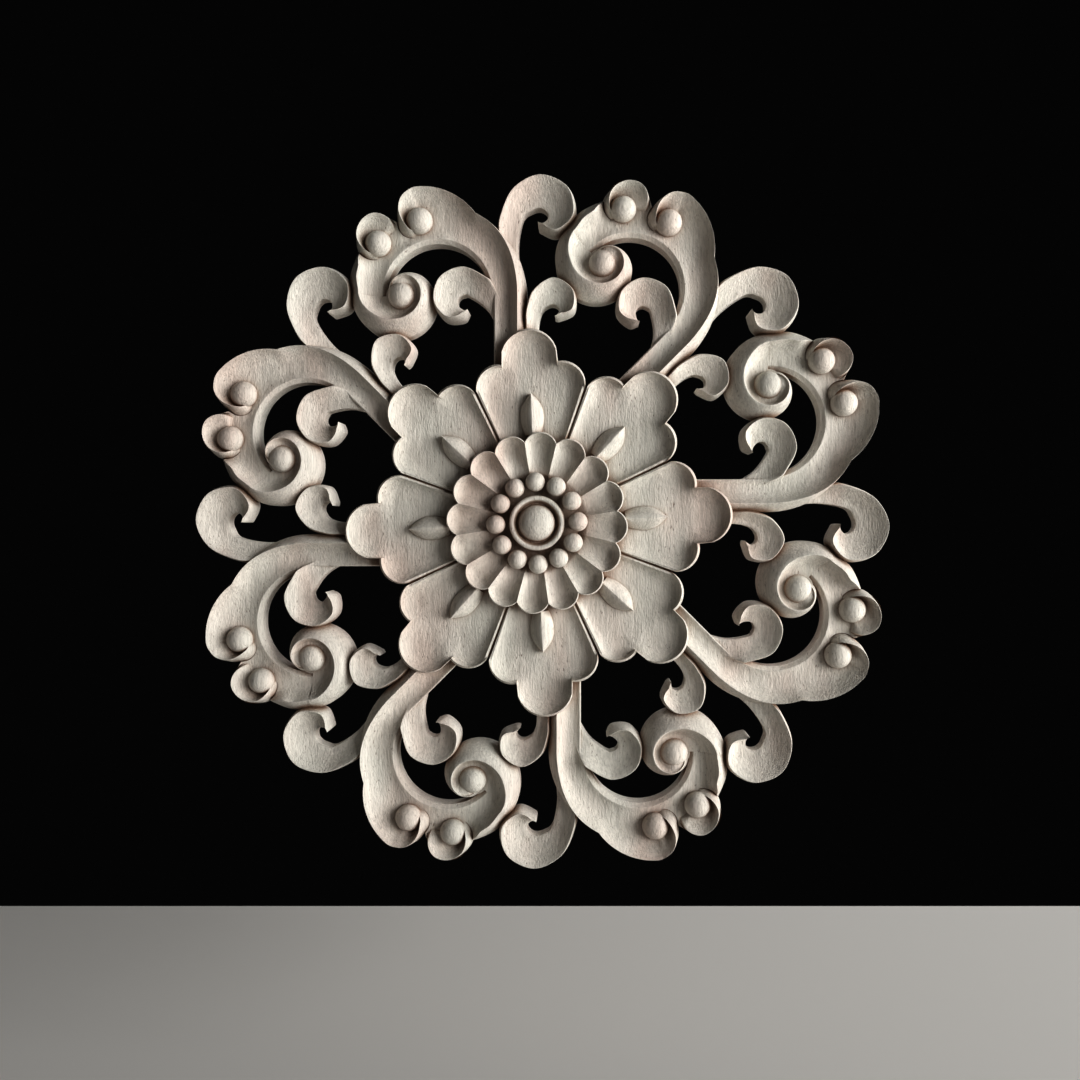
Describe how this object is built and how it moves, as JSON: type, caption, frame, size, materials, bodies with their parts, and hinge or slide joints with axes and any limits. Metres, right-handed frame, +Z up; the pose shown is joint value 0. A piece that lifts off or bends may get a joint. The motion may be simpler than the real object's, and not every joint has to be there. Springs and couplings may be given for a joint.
{
  "type": "carved wooden rosette",
  "caption": "Pierced round wooden onlay: scrolled arms with volutes and hooks round a lobed flower with small petals, beads and a domed boss.",
  "frame": {"origin": "middle of the flat back, where it is glued or pinned to a door, wall or ceiling", "axes": "-Y out of the carved face, +Y into the surface it is fixed to, +Z up as pictured and along the wood's grain, +X to the right seen from the front"},
  "size_m": [0.2906, 0.02, 0.2906],
  "materials": {
    "carved_wood": "bare, unpainted pale hardwood with an upright grain and short dark pores, matt, as it came off the carving tools and sandpaper"
  },
  "bodies": {
    "root": {"rosette": "carved_wood"}
  },
  "joints": []
}
